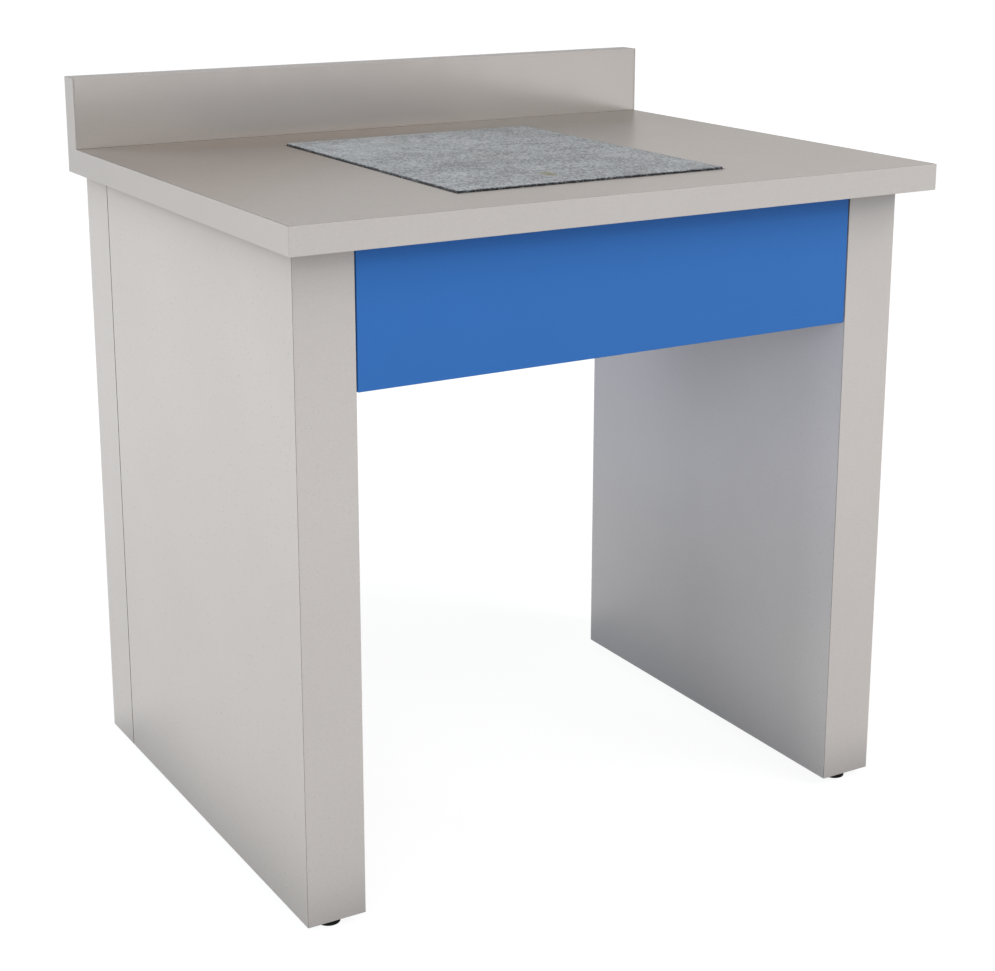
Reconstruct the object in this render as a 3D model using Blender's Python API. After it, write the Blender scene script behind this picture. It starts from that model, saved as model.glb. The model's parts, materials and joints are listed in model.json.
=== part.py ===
# Weighing table: a laminated worktop with an upstand on two boxed legs. A stone slab lies
# in a cut-out of the worktop, on an inner steel stand that touches neither legs nor worktop.
# Metres, +Z up, origin on the floor at the middle of the footprint, front towards -Y.
import math

import bmesh
import bpy
from mathutils import Matrix, Vector

for old in list(bpy.data.objects):
    bpy.data.objects.remove(old, do_unlink=True)

# Worktop and upstand
TABLE_WIDTH = 0.950
TABLE_DEPTH = 0.750
WORK_HEIGHT = 0.905
WORKTOP_THICKNESS = 0.035
UPSTAND_HEIGHT = 0.100
UPSTAND_THICKNESS = 0.035
BAND_THICKNESS = 0.002
BAND_ROUNDING = 0.0003

# Legs: boxes of thin boards, open at the bottom
LEG_THICKNESS = 0.080
LEG_END_INSET = 0.025
LEG_SETBACK = 0.050
SERVICE_DEPTH = 0.085
BOARD_THICKNESS = 0.016
BOARD_ROUNDING = 0.0004
COVER_SEAM = 0.0009

# Boards between the legs
APRON_HEIGHT = 0.180
APRON_THICKNESS = 0.018
APRON_SIDE_GAP = 0.002
REAR_RAIL_HEIGHT = 0.150
BRACKET_ARM = 0.030
BRACKET_HEIGHT = 0.060
BRACKET_THICKNESS = 0.002
BRACKET_ROUNDING = 0.0004

# Levelling feet, of one kind under the legs and under the stand
PAD_DIAMETER = 0.030
PAD_HEIGHT = 0.012
PAD_TOP_ROUNDING = 0.0016
PAD_FLOOR_ROUNDING = 0.0006
PAD_SOCKET_FLOOR = 0.0035
PAD_LIP = 0.0035
STEM_DIAMETER = 0.010
STEM_FLANGE_WIDTH = 0.0015
STEM_TIP_CHAMFER = 0.001
STEM_SPARE_LENGTH = 0.002
FOOT_TRAVEL = 0.020
INSERT_LENGTH = 0.020
INSERT_WALL = 0.002
BLOCK_LENGTH = 0.050
BLOCK_HEIGHT = 0.060
BLOCK_EDGE = 0.0014
STEM_WELL_CLEARANCE = 0.001

# Stone slab and what carries it
SLAB_WIDTH = 0.400
SLAB_DEPTH = 0.500
SLAB_THICKNESS = 0.040
SLAB_PROUD = 0.003
SLAB_ROUNDING = 0.0008
CUTOUT_CLEARANCE = 0.003
BUFFER_DIAMETER = 0.040
BUFFER_HEIGHT = 0.025
BUFFER_PLATE = 0.002
BUFFER_WAIST = 0.0015
BUFFER_END_INSET = 0.070
BUFFER_SIDE_INSET = 0.070

# Inner stand of square and flat steel tube
STAND_TUBE = 0.030
BEAM_WIDTH = 0.040
BEAM_HEIGHT = 0.060
TUBE_WALL = 0.002
TUBE_ROUNDING = 0.0015
STAND_PLUG = 0.020
STAND_LEG_CLEARANCE = 0.012
BEAM_CLEARANCE = 0.008

# Fits and cuts
FIT_GAP = 0.0003
CUT_OVERRUN = 0.010
ROUND_STEPS = 32
STEM_STEPS = 20
EDGE_STEPS = 2
SHARP_ANGLE = math.radians(30)

# Levels
leg_bottom = PAD_HEIGHT + FIT_GAP
worktop_bottom = WORK_HEIGHT - WORKTOP_THICKNESS
leg_top = worktop_bottom - FIT_GAP
slab_top = WORK_HEIGHT + SLAB_PROUD
slab_bottom = slab_top - SLAB_THICKNESS
buffer_top = slab_bottom - FIT_GAP
beam_top = buffer_top - BUFFER_HEIGHT - FIT_GAP
beam_bottom = beam_top - BEAM_HEIGHT
stand_rail_top = beam_bottom - FIT_GAP
stand_rail_bottom = stand_rail_top - STAND_TUBE
stand_leg_top = stand_rail_bottom - FIT_GAP

# Places from front to rear
table_front = -TABLE_DEPTH / 2
table_rear = TABLE_DEPTH / 2
upstand_front = table_rear - UPSTAND_THICKNESS
leg_front = table_front + LEG_SETBACK
leg_rear = table_rear - SERVICE_DEPTH
slab_middle = (table_front + upstand_front) / 2
beam_places = {
    "front": slab_middle - SLAB_DEPTH / 2 + BUFFER_END_INSET,
    "rear": slab_middle + SLAB_DEPTH / 2 - BUFFER_END_INSET,
}

# Radii of the levelling feet
stem_radius = STEM_DIAMETER / 2
flange_radius = stem_radius + STEM_FLANGE_WIDTH
insert_bore_radius = stem_radius + FIT_GAP
insert_radius = insert_bore_radius + INSERT_WALL
block_bore_radius = insert_radius + FIT_GAP
stem_top = leg_bottom + INSERT_LENGTH + FOOT_TRAVEL + STEM_SPARE_LENGTH

# A foot's axis, measured back from the leg's front face and forward from its rear face
foot_inset = BOARD_THICKNESS + FIT_GAP + BLOCK_EDGE + block_bore_radius
foot_places = {"front": leg_front + foot_inset, "rear": leg_rear - foot_inset}
block_places = {
    "front": (leg_front + BOARD_THICKNESS + FIT_GAP, 1),
    "rear": (leg_rear - BOARD_THICKNESS - FIT_GAP, -1),
}

# The stand's legs stand next to the foot blocks, in the hollow between them
stand_leg_reach = BLOCK_LENGTH + STAND_LEG_CLEARANCE + STAND_TUBE / 2
stand_places = {end: start + way * stand_leg_reach for end, (start, way) in block_places.items()}

# Each side: its name and the direction from the table's middle out to that leg
SIDES = {"left": -1, "right": 1}
leg_outer = TABLE_WIDTH / 2 - LEG_END_INSET
leg_inner = leg_outer - LEG_THICKNESS
leg_middle = (leg_outer + leg_inner) / 2

# Half of a mitre's gap, measured across the board
mitre_offset = FIT_GAP / math.sqrt(2)


def material(name, colour, roughness, metallic=0.0):
    made = bpy.data.materials.new(name)
    made.use_nodes = True
    shader = made.node_tree.nodes["Principled BSDF"]
    shader.inputs["Base Color"].default_value = (*colour, 1.0)
    shader.inputs["Roughness"].default_value = roughness
    shader.inputs["Metallic"].default_value = metallic
    return made


LAMINATE = material("grey_laminate", (0.50, 0.48, 0.45), 0.45)
BLUE_BOARD = material("blue_board", (0.04, 0.16, 0.47), 0.45)
BARE_BOARD = material("bare_board", (0.45, 0.33, 0.20), 0.80)
STONE = material("grey_stone", (0.30, 0.34, 0.36), 0.55)
BLACK_PLASTIC = material("black_plastic", (0.012, 0.012, 0.012), 0.45)
RUBBER = material("black_rubber", (0.02, 0.02, 0.02), 0.80)
PAINTED_STEEL = material("painted_steel", (0.45, 0.46, 0.47), 0.50)
ZINC_STEEL = material("zinc_steel", (0.62, 0.62, 0.60), 0.35, 1.0)


def add_piece(name, shape, origin, finish, smooth=False):
    """Makes the shape, drawn in world places, an object whose own origin is at the given point."""
    origin = Vector(origin)
    bmesh.ops.recalc_face_normals(shape, faces=shape.faces)
    bmesh.ops.translate(shape, verts=shape.verts, vec=-origin)
    mesh = bpy.data.meshes.new(name)
    shape.to_mesh(mesh)
    shape.free()
    if finish is not None:
        mesh.materials.append(finish)
    piece = bpy.data.objects.new(name, mesh)
    piece.location = origin
    bpy.context.scene.collection.objects.link(piece)
    if smooth:
        mesh.shade_smooth()
        mesh.set_sharp_from_angle(angle=SHARP_ANGLE)
    return piece


def block_shape(low, high):
    """A plain block between two opposite corners."""
    low, high = Vector(low), Vector(high)
    shape = bmesh.new()
    bmesh.ops.create_cube(shape, size=1.0)
    bmesh.ops.scale(shape, verts=shape.verts, vec=high - low)
    bmesh.ops.translate(shape, verts=shape.verts, vec=(low + high) / 2)
    return shape


def upright_shape(outline, bottom, top):
    """A plan outline of (x, y) points, raised from one level to another."""
    shape = bmesh.new()
    face = shape.faces.new([shape.verts.new((x, y, bottom)) for x, y in outline])
    raised = bmesh.ops.extrude_face_region(shape, geom=[face])["geom"]
    moved = [item for item in raised if isinstance(item, bmesh.types.BMVert)]
    bmesh.ops.translate(shape, verts=moved, vec=(0, 0, top - bottom))
    return shape


def endwise_shape(outline, left, right):
    """A side outline of (y, z) points, stretched from one x to another."""
    shape = bmesh.new()
    face = shape.faces.new([shape.verts.new((left, y, z)) for y, z in outline])
    stretched = bmesh.ops.extrude_face_region(shape, geom=[face])["geom"]
    moved = [item for item in stretched if isinstance(item, bmesh.types.BMVert)]
    bmesh.ops.translate(shape, verts=moved, vec=(right - left, 0, 0))
    return shape


def turned_shape(profile, x, y, steps):
    """A closed (radius, level) profile turned round an upright axis at (x, y)."""
    shape = bmesh.new()
    points = [shape.verts.new((x + radius, y, level)) for radius, level in profile]
    ends = list(zip(points, points[1:]))
    if min(radius for radius, level in profile) > 0:
        ends.append((points[-1], points[0]))
    edges = [shape.edges.new(pair) for pair in ends]
    bmesh.ops.spin(
        shape, geom=points + edges, cent=(x, y, 0), axis=(0, 0, 1), dvec=(0, 0, 0),
        angle=2 * math.pi, steps=steps, use_merge=True, use_duplicate=False,
    )
    bmesh.ops.remove_doubles(shape, verts=shape.verts, dist=FIT_GAP / 100)
    return shape


def soften(shape, rounding):
    """Rounds every sharp edge a little."""
    bmesh.ops.recalc_face_normals(shape, faces=shape.faces)
    sharp = [e for e in shape.edges if len(e.link_faces) == 2 and e.calc_face_angle() > SHARP_ANGLE]
    bmesh.ops.bevel(
        shape, geom=sharp, offset=rounding, offset_type="OFFSET", segments=EDGE_STEPS,
        profile=0.5, affect="EDGES", clamp_overlap=True, material=-1,
    )
    return shape


def add_board(name, low, high, finish, rounding=BOARD_ROUNDING):
    """A board between two corners; its origin is at its middle."""
    middle = (Vector(low) + Vector(high)) / 2
    return add_piece(name, soften(block_shape(low, high), rounding), middle, finish)


def add_cutter(name, shape):
    """A helper that only cuts: it is drawn as wire and left out of the part."""
    cutter = add_piece(name, shape, (0, 0, 0), None)
    cutter.hide_render = True
    cutter.display_type = "WIRE"
    return cutter


def cut(piece, cutter):
    modifier = piece.modifiers.new("cut_" + cutter.name, "BOOLEAN")
    modifier.operation = "DIFFERENCE"
    modifier.solver = "EXACT"
    modifier.object = cutter


def make_worktop():
    """Core board with the slab's cut-out, its front band and the upstand on its rear edge."""
    core_left = -TABLE_WIDTH / 2 + BAND_THICKNESS + FIT_GAP
    core_front = table_front + BAND_THICKNESS + FIT_GAP
    hole_x = SLAB_WIDTH / 2 + CUTOUT_CLEARANCE
    hole_y = SLAB_DEPTH / 2 + CUTOUT_CLEARANCE

    core = block_shape((core_left, core_front, worktop_bottom), (-core_left, table_rear, WORK_HEIGHT))
    panel = add_piece("worktop_panel", soften(core, BAND_ROUNDING), (0, 0, WORK_HEIGHT), LAMINATE)
    cut(panel, add_cutter("slab_cutout", block_shape(
        (-hole_x, slab_middle - hole_y, worktop_bottom - CUT_OVERRUN),
        (hole_x, slab_middle + hole_y, WORK_HEIGHT + CUT_OVERRUN),
    )))

    add_board(
        "front_edge_band",
        (core_left, table_front, worktop_bottom),
        (-core_left, table_front + BAND_THICKNESS, WORK_HEIGHT),
        LAMINATE, BAND_ROUNDING,
    )
    add_board(
        "upstand",
        (core_left, upstand_front, WORK_HEIGHT + FIT_GAP),
        (-core_left, table_rear, WORK_HEIGHT + UPSTAND_HEIGHT),
        LAMINATE, BAND_ROUNDING,
    )


def make_end_band(side, out):
    """One L-shaped band that covers the end of the worktop and of the upstand."""
    outline = [
        (table_front, worktop_bottom),
        (table_rear, worktop_bottom),
        (table_rear, WORK_HEIGHT + UPSTAND_HEIGHT),
        (upstand_front, WORK_HEIGHT + UPSTAND_HEIGHT),
        (upstand_front, WORK_HEIGHT),
        (table_front, WORK_HEIGHT),
    ]
    outer = out * TABLE_WIDTH / 2
    inner = out * (TABLE_WIDTH / 2 - BAND_THICKNESS)
    shape = soften(endwise_shape(outline, inner, outer), BAND_ROUNDING)
    add_piece(side + "_end_band", shape, (outer, 0, WORK_HEIGHT), LAMINATE)


def leg_plan(out, points):
    """Plan points given as (inward from the leg's outer face, y), in world x and y."""
    return [(out * (leg_outer - inward), y) for inward, y in points]


def make_inner_panel(side, out):
    """The board on the knee side, with an open notch for each beam and a mitred front edge."""
    reach = BEAM_WIDTH / 2 + BEAM_CLEARANCE
    floor = beam_bottom - BEAM_CLEARANCE
    outline = [(leg_front, leg_bottom), (leg_rear, leg_bottom), (leg_rear, leg_top)]
    for y in sorted(beam_places.values(), reverse=True):
        outline += [(y + reach, leg_top), (y + reach, floor), (y - reach, floor), (y - reach, leg_top)]
    outline.append((leg_front, leg_top))
    shape = endwise_shape(outline, out * leg_inner, out * (leg_inner + BOARD_THICKNESS))
    trimmed = bmesh.ops.bisect_plane(
        shape, geom=shape.verts[:] + shape.edges[:] + shape.faces[:], dist=FIT_GAP / 100,
        plane_co=(out * leg_inner, leg_front + mitre_offset, 0), plane_no=(-out, 1, 0),
        clear_inner=True,
    )["geom_cut"]
    rim = [item for item in trimmed if isinstance(item, bmesh.types.BMEdge)]
    bmesh.ops.contextual_create(shape, geom=rim)
    origin = (out * leg_middle, leg_front, leg_bottom)
    add_piece(side + "_inner_panel", soften(shape, BOARD_ROUNDING), origin, LAMINATE)


def make_leg(side, out):
    """The boards of one boxed leg, mitred at its two front corners."""
    thickness, board, offset = LEG_THICKNESS, BOARD_THICKNESS, mitre_offset
    panel_rear = leg_rear - COVER_SEAM / 2
    mitre_front, mitre_back = leg_front + offset, leg_front + board + offset
    origin = (out * leg_middle, leg_front, leg_bottom)

    def add_upright(name, points, finish=LAMINATE, bottom=leg_bottom):
        shape = soften(upright_shape(leg_plan(out, points), bottom, leg_top), BOARD_ROUNDING)
        add_piece(side + name, shape, origin, finish)

    add_upright("_outer_panel", [
        (0, mitre_front), (board, mitre_back), (board, panel_rear), (0, panel_rear),
    ])
    add_upright("_front_board", [
        (offset, leg_front), (thickness - offset, leg_front),
        (thickness - board - offset, leg_front + board), (board + offset, leg_front + board),
    ])

    cavity_low, cavity_high = board + FIT_GAP, thickness - board - FIT_GAP
    add_upright("_rear_board", [
        (cavity_low, leg_rear - board), (cavity_high, leg_rear - board),
        (cavity_high, leg_rear), (cavity_low, leg_rear),
    ])
    cover_front = leg_rear + COVER_SEAM / 2
    add_upright("_rear_cover", [
        (0, cover_front), (board, cover_front), (board, table_rear), (0, table_rear),
    ])
    lid_front, lid_rear = leg_front + board + FIT_GAP, leg_rear - board - FIT_GAP
    add_upright("_top_board", [
        (cavity_low, lid_front), (cavity_high, lid_front),
        (cavity_high, lid_rear), (cavity_low, lid_rear),
    ], BARE_BOARD, leg_top - board)


def make_foot_block(side, out, end):
    """A hardwood block at the bottom of a leg, with the threaded insert for its foot."""
    start, inward = block_places[end]
    half_width = LEG_THICKNESS / 2 - BOARD_THICKNESS - FIT_GAP
    x, y = out * leg_middle, foot_places[end]
    ys = sorted((start, start + inward * BLOCK_LENGTH))
    name = side + "_" + end

    block = add_board(
        name + "_foot_block",
        (x - half_width, ys[0], leg_bottom),
        (x + half_width, ys[1], leg_bottom + BLOCK_HEIGHT),
        BARE_BOARD,
    )
    seat = leg_bottom + INSERT_LENGTH + FIT_GAP
    well_radius = stem_radius + STEM_WELL_CLEARANCE
    cut(block, add_cutter(name + "_block_bore", turned_shape([
        (0, leg_bottom - CUT_OVERRUN), (block_bore_radius, leg_bottom - CUT_OVERRUN),
        (block_bore_radius, seat), (well_radius, seat),
        (well_radius, leg_bottom + BLOCK_HEIGHT + CUT_OVERRUN),
        (0, leg_bottom + BLOCK_HEIGHT + CUT_OVERRUN),
    ], x, y, STEM_STEPS)))

    add_piece(name + "_insert", turned_shape([
        (insert_bore_radius, leg_bottom), (insert_radius, leg_bottom),
        (insert_radius, leg_bottom + INSERT_LENGTH),
        (insert_bore_radius, leg_bottom + INSERT_LENGTH),
    ], x, y, STEM_STEPS), (x, y, leg_bottom), ZINC_STEEL, smooth=True)


def make_foot(name, x, y):
    """A round pad with a socket, and the stem whose flange turns in that socket."""
    pad_radius = PAD_DIAMETER / 2
    lip_radius = stem_radius + FIT_GAP
    socket_radius = flange_radius + FIT_GAP
    socket_top = PAD_HEIGHT - PAD_LIP

    def corner(radius, level, rounding, first_turn):
        """A rounded corner of the profile as an arc about a centre, a quarter turn long."""
        turns = [first_turn + step / EDGE_STEPS for step in range(EDGE_STEPS + 1)]
        angles = [math.pi / 2 * turn for turn in turns]
        return [(radius + rounding * math.cos(a), level + rounding * math.sin(a)) for a in angles]

    add_piece(name + "_pad", turned_shape([
        (0, 0),
        *corner(pad_radius - PAD_FLOOR_ROUNDING, PAD_FLOOR_ROUNDING, PAD_FLOOR_ROUNDING, -1),
        *corner(pad_radius - PAD_TOP_ROUNDING, PAD_HEIGHT - PAD_TOP_ROUNDING, PAD_TOP_ROUNDING, 0),
        (lip_radius, PAD_HEIGHT), (lip_radius, socket_top),
        (socket_radius, socket_top), (socket_radius, PAD_SOCKET_FLOOR), (0, PAD_SOCKET_FLOOR),
    ], x, y, ROUND_STEPS), (x, y, 0), BLACK_PLASTIC, smooth=True)

    flange_bottom, flange_top = PAD_SOCKET_FLOOR + FIT_GAP, socket_top - FIT_GAP
    add_piece(name + "_stem", turned_shape([
        (0, flange_bottom), (flange_radius, flange_bottom), (flange_radius, flange_top),
        (stem_radius, flange_top), (stem_radius, stem_top - STEM_TIP_CHAMFER),
        (stem_radius - STEM_TIP_CHAMFER, stem_top), (0, stem_top),
    ], x, y, STEM_STEPS), (x, y, 0), ZINC_STEEL, smooth=True)


def make_apron():
    """The coloured board between the legs' fronts, and the steel angles that hold it."""
    half = leg_inner - APRON_SIDE_GAP
    add_board(
        "apron",
        (-half, leg_front, leg_top - APRON_HEIGHT),
        (half, leg_front + APRON_THICKNESS, leg_top),
        BLUE_BOARD,
    )
    middle = leg_top - APRON_HEIGHT / 2
    wall, arm, metal = leg_inner - FIT_GAP, BRACKET_ARM, BRACKET_THICKNESS
    back = leg_front + APRON_THICKNESS + FIT_GAP
    for side, out in SIDES.items():
        outline = [
            (wall, back), (wall, back + arm), (wall - metal, back + arm),
            (wall - metal, back + metal), (wall - arm, back + metal), (wall - arm, back),
        ]
        shape = upright_shape(
            [(out * x, y) for x, y in outline],
            middle - BRACKET_HEIGHT / 2, middle + BRACKET_HEIGHT / 2,
        )
        origin = (out * wall, back, middle)
        add_piece(side + "_apron_bracket", soften(shape, BRACKET_ROUNDING), origin, ZINC_STEEL)


def make_rear_rail():
    half = leg_inner - FIT_GAP
    add_board(
        "rear_rail",
        (-half, leg_rear - BOARD_THICKNESS, leg_top - REAR_RAIL_HEIGHT),
        (half, leg_rear, leg_top),
        LAMINATE,
    )


def add_tube(name, low, high, along, finish=PAINTED_STEEL):
    """A rectangular steel tube, open at both ends; along is the axis it runs on."""
    low, high = Vector(low), Vector(high)
    reach = Vector([TUBE_WALL if axis != along else -CUT_OVERRUN for axis in range(3)])
    shape = block_shape(low, high)
    long_edges = [
        e for e in shape.edges
        if abs((e.verts[0].co - e.verts[1].co)[along]) > (high - low)[along] / 2
    ]
    bmesh.ops.bevel(
        shape, geom=long_edges, offset=TUBE_ROUNDING, offset_type="OFFSET", segments=EDGE_STEPS,
        profile=0.5, affect="EDGES", clamp_overlap=True, material=-1,
    )
    tube = add_piece(name, shape, (low + high) / 2, finish)
    cut(tube, add_cutter(name + "_bore", block_shape(low + reach, high - reach)))
    return tube


def make_stand_leg(name, x, y):
    """A square tube with a bored plug at its lower end for the foot's stem."""
    half = STAND_TUBE / 2
    low, high = Vector((x - half, y - half, leg_bottom)), Vector((x + half, y + half, stand_leg_top))
    shape = block_shape(low, high)
    upright = [e for e in shape.edges if abs(e.verts[0].co.z - e.verts[1].co.z) > STAND_TUBE]
    bmesh.ops.bevel(
        shape, geom=upright, offset=TUBE_ROUNDING, offset_type="OFFSET", segments=EDGE_STEPS,
        profile=0.5, affect="EDGES", clamp_overlap=True, material=-1,
    )
    leg = add_piece(name + "_leg", shape, (x, y, leg_bottom), PAINTED_STEEL)
    wall = Vector((TUBE_WALL, TUBE_WALL, 0))
    cut(leg, add_cutter(name + "_hollow", block_shape(
        low + wall + Vector((0, 0, STAND_PLUG)), high - wall + Vector((0, 0, CUT_OVERRUN)),
    )))
    cut(leg, add_cutter(name + "_plug_bore", turned_shape([
        (0, leg_bottom - CUT_OVERRUN), (insert_bore_radius, leg_bottom - CUT_OVERRUN),
        (insert_bore_radius, leg_bottom + STAND_PLUG + CUT_OVERRUN),
        (0, leg_bottom + STAND_PLUG + CUT_OVERRUN),
    ], x, y, STEM_STEPS)))


def make_stand_side(side, out):
    """Two legs in the hollow of the boxed leg, and the rail that joins them."""
    x, half = out * leg_middle, STAND_TUBE / 2
    for end, y in stand_places.items():
        name = "stand_" + side + "_" + end
        make_stand_leg(name, x, y)
        make_foot(name, x, y)
    add_tube(
        "stand_" + side + "_rail",
        (x - half, stand_places["front"] - half, stand_rail_bottom),
        (x + half, stand_places["rear"] + half, stand_rail_top),
        along=1,
    )


def make_buffer(name, x, y):
    """A rubber buffer with a slight waist between its two end plates."""
    radius, low, high = BUFFER_DIAMETER / 2, beam_top + FIT_GAP, buffer_top
    waist = radius - BUFFER_WAIST
    add_piece(name, turned_shape([
        (0, low), (radius, low), (radius, low + BUFFER_PLATE),
        (waist, low + 2 * BUFFER_PLATE), (waist, high - 2 * BUFFER_PLATE),
        (radius, high - BUFFER_PLATE), (radius, high), (0, high),
    ], x, y, ROUND_STEPS), (x, y, low), RUBBER, smooth=True)


def make_slab_carrier():
    """The two cross beams that pass through the inner panels, and the buffers on them."""
    end = leg_middle + STAND_TUBE / 2
    for place, y in beam_places.items():
        add_tube(
            "stand_" + place + "_beam",
            (-end, y - BEAM_WIDTH / 2, beam_bottom),
            (end, y + BEAM_WIDTH / 2, beam_top),
            along=0,
        )
        for side, out in SIDES.items():
            x = out * (SLAB_WIDTH / 2 - BUFFER_SIDE_INSET)
            make_buffer(side + "_" + place + "_buffer", x, y)


def make_slab():
    add_piece("stone_slab", soften(block_shape(
        (-SLAB_WIDTH / 2, slab_middle - SLAB_DEPTH / 2, slab_bottom),
        (SLAB_WIDTH / 2, slab_middle + SLAB_DEPTH / 2, slab_top),
    ), SLAB_ROUNDING), (0, slab_middle, slab_bottom), STONE)


make_worktop()
for side_name, outward in SIDES.items():
    make_end_band(side_name, outward)
    make_leg(side_name, outward)
    make_inner_panel(side_name, outward)
    for end_name in foot_places:
        make_foot_block(side_name, outward, end_name)
        foot_name = side_name + "_" + end_name + "_foot"
        make_foot(foot_name, outward * leg_middle, foot_places[end_name])
    make_stand_side(side_name, outward)
make_apron()
make_rear_rail()
make_slab_carrier()
make_slab()
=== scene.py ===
# %% [markdown]
# # A laboratory weighing table
#
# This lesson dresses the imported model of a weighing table. Such a table carries a sensitive
# balance. Its grey laminate worktop rests on two boxed legs, and the balance stands on a stone
# slab that lies in a cut-out of the worktop. Under the worktop the slab has its own steel stand
# on rubber buffers, so a knock on the table doesn't reach the balance.
#
# The boards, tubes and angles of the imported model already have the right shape, so they stay
# and only get a finish. The slab, the buffers, the levelling feet and the screws are seen from
# close by, so they are modelled again here in finer detail.

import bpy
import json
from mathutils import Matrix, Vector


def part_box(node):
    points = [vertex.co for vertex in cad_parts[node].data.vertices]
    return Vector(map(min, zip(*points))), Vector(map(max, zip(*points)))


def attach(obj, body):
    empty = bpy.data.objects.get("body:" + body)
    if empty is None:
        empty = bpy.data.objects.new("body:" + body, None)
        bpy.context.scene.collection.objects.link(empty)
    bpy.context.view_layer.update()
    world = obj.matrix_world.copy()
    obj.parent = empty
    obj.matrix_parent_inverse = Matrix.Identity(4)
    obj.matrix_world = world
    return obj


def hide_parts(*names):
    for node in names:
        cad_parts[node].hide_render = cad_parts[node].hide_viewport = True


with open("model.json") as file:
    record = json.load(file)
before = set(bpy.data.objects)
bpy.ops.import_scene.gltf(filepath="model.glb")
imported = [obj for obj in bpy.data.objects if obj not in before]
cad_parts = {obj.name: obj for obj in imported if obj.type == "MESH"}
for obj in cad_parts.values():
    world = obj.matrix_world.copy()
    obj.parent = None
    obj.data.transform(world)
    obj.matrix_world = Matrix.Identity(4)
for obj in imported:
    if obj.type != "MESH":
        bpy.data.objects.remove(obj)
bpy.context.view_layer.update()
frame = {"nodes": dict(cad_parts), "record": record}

# %% Modules and shared measures
import json
import math

import bmesh
import bpy
from mathutils import Matrix, Vector, noise

MM = 0.001
nodes = frame["nodes"]
slab_low, slab_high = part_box("stone_slab")
worktop_low, worktop_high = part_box("worktop_panel")
print("slab is", [round(side / MM) for side in slab_high - slab_low], "mm")

# %% [markdown]
# ## The camera
#
# The photograph was taken from the front left, a little above the worktop, with a fairly long
# lens. The place, the angles and the lens come from fitting a pinhole camera to the table's
# corners. The shift takes up that the photograph is a part of a larger frame, cut lower than
# its middle.

# %% Camera
CAMERA_PLACE = (-1.35308, -2.31829, 1.28116)
CAMERA_TILT = 75.729
CAMERA_TURN = -30.307
CAMERA_LENS = 70.601
CAMERA_SHIFT = (0.00708, -0.11578)

camera_data = bpy.data.cameras.new("camera")
camera_data.lens = CAMERA_LENS
camera_data.sensor_width = 36.0
camera_data.shift_x, camera_data.shift_y = CAMERA_SHIFT
camera = bpy.data.objects.new("camera", camera_data)
camera.location = CAMERA_PLACE
camera.rotation_euler = (math.radians(CAMERA_TILT), 0.0, math.radians(CAMERA_TURN))
bpy.context.scene.collection.objects.link(camera)
bpy.context.scene.camera = camera
print("camera at", CAMERA_PLACE, "with a", CAMERA_LENS, "mm lens")

# %% [markdown]
# ## A short way to write shader nodes
#
# Every finish below is a small node tree. Writing each node by hand takes four lines, so this
# helper adds a node, sets its options, and fills its inputs: a number stays a number, and a
# socket becomes a link.

# %% Node helpers
NOISE_SPAN = (0.3, 0.7)


def add_node(tree, kind, inputs=None, **options):
    """Adds one shader node; each input is a plain value or another node's output socket."""
    made = tree.nodes.new("ShaderNode" + kind)
    for key, value in options.items():
        setattr(made, key, value)
    for key, value in (inputs or {}).items():
        if isinstance(value, bpy.types.NodeSocket):
            tree.links.new(value, made.inputs[key])
        else:
            made.inputs[key].default_value = value
    return made


def calculate(tree, operation, first, second=0.0):
    """One Math node; returns its output socket."""
    return add_node(tree, "Math", {0: first, 1: second}, operation=operation).outputs[0]


def weigh(tree, first, first_share, second, second_share):
    """The sum of two values, each taken by its share."""
    first, second = (
        calculate(tree, "MULTIPLY", value, share)
        for value, share in ((first, first_share), (second, second_share))
    )
    return calculate(tree, "ADD", first, second)


def ramp(tree, value, low, high, to_low=0.0, to_high=1.0):
    """Maps a value from one span to another, held at both ends."""
    return add_node(tree, "MapRange", {
        "Value": value, "From Min": low, "From Max": high, "To Min": to_low, "To Max": to_high,
    }, clamp=True).outputs["Result"]


def spread(tree, noise_value, to_low=0.0, to_high=1.0):
    """Maps the span in which a noise mostly lies to another one."""
    return ramp(tree, noise_value, *NOISE_SPAN, to_low, to_high)


def mix_colours(tree, factor, first, second, way="MIX"):
    """Mixes two colours; a colour is three numbers or a socket."""
    made = add_node(tree, "Mix", {0: factor}, data_type="RGBA", blend_type=way)
    for socket, colour in ((made.inputs[6], first), (made.inputs[7], second)):
        if isinstance(colour, bpy.types.NodeSocket):
            tree.links.new(colour, socket)
        else:
            socket.default_value = (*colour, 1.0)
    return made.outputs[2]


def new_finish(name, **shader_values):
    """A material with its tree, its Principled shader and Object coordinates in metres."""
    made = bpy.data.materials.new(name)
    made.use_nodes = True
    tree = made.node_tree
    shader = tree.nodes["Principled BSDF"]
    for key, value in shader_values.items():
        shader.inputs[key.replace("_", " ")].default_value = value
    place = add_node(tree, "TexCoord").outputs["Object"]
    return made, tree, shader, place


def colour_by(tree, shader, colour):
    tree.links.new(colour, shader.inputs["Base Color"])


def gloss_by(tree, shader, roughness):
    tree.links.new(roughness, shader.inputs["Roughness"])


def add_bump(tree, shader, height, strength, distance):
    bump = add_node(tree, "Bump", {"Height": height, "Strength": strength, "Distance": distance})
    tree.links.new(bump.outputs["Normal"], shader.inputs["Normal"])


print("node helpers are ready")

# %% [markdown]
# ## Patterns and places
#
# The finishes are made of a few patterns: specks, clouds of noise, and cells with a random
# tone each. Noise has no grain of its own, so a stretched copy of the place gives it one. Some
# tones depend on where a point lies on the table or whether it faces up, and the last three
# helpers measure that.

# %% Pattern helpers
def stretch(tree, place, scale):
    """The place scaled axis by axis; a scale below 1 draws a pattern out along that axis."""
    return add_node(tree, "Mapping", {"Vector": place, "Scale": scale}).outputs[0]


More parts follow.
